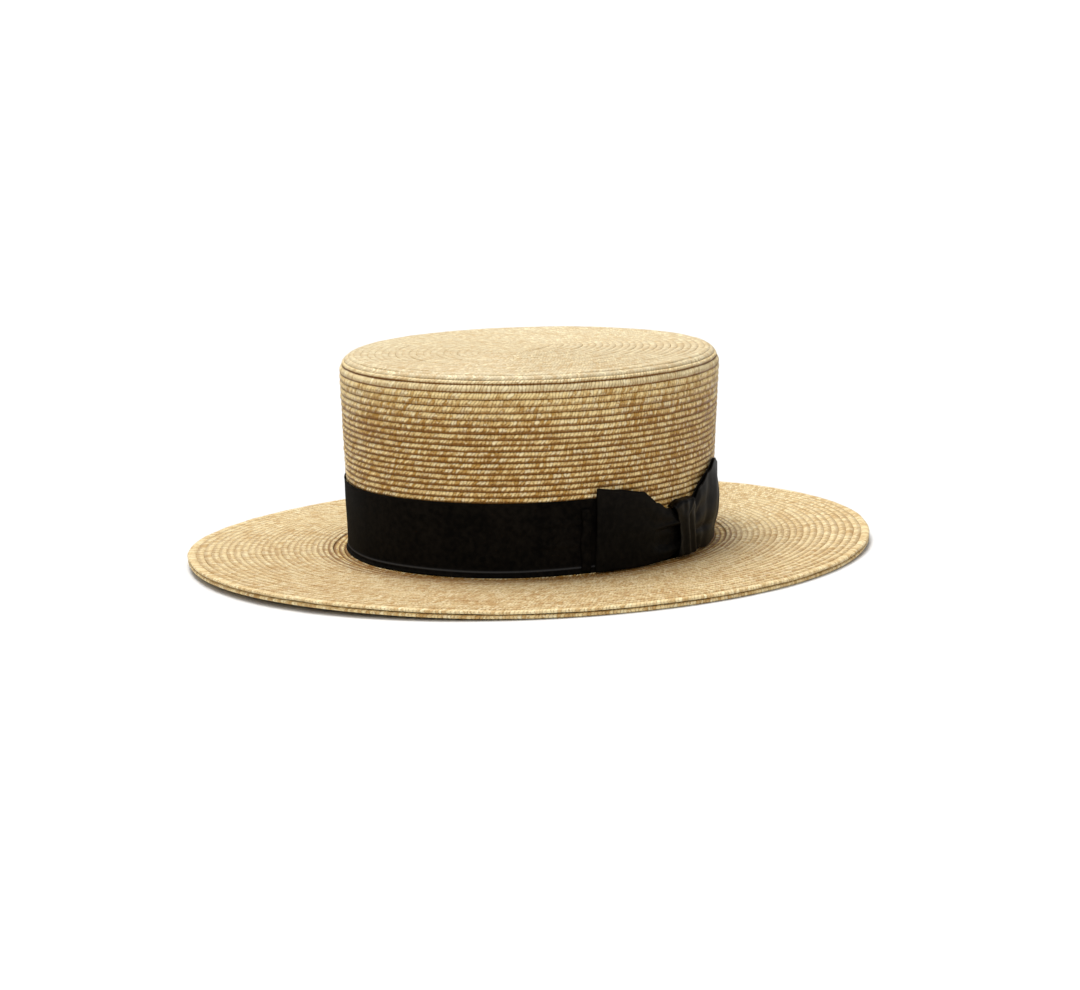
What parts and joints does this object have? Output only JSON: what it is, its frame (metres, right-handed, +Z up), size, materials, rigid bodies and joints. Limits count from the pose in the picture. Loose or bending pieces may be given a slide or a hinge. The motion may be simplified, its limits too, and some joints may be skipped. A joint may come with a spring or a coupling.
{
  "type": "straw boater hat",
  "caption": "Stiff straw boater hat with a flat oval crown, a flat brim, a dark ribbon band and a flat bow on the wearer's left side.",
  "frame": {"origin": "centre of the bounding box in plan, on the floor that the brim's rim rests on", "axes": "+Z up through the crown; +Y towards the back of the wearer's head, along the oval's long axis; +X towards the wearer's left, the bow's side"},
  "size_m": [0.3206, 0.3526, 0.0988],
  "materials": {
    "crown_straw": "sewn plaited straw, pale gold, satin",
    "brim_straw": "sewn plaited straw, pale gold, satin",
    "rim_braid_straw": "sewn plaited straw, pale gold, satin",
    "band_ribbon": "black ribbed ribbon, satin",
    "bow_ribbon": "black ribbed ribbon, satin"
  },
  "bodies": {
    "root": {"crown": "crown_straw", "brim": "brim_straw", "rim_braid": "rim_braid_straw", "hatband": "band_ribbon", "band_end": "band_ribbon", "bow_front_wing": "bow_ribbon", "bow_back_wing": "bow_ribbon", "bow_knot": "bow_ribbon"}
  },
  "joints": []
}
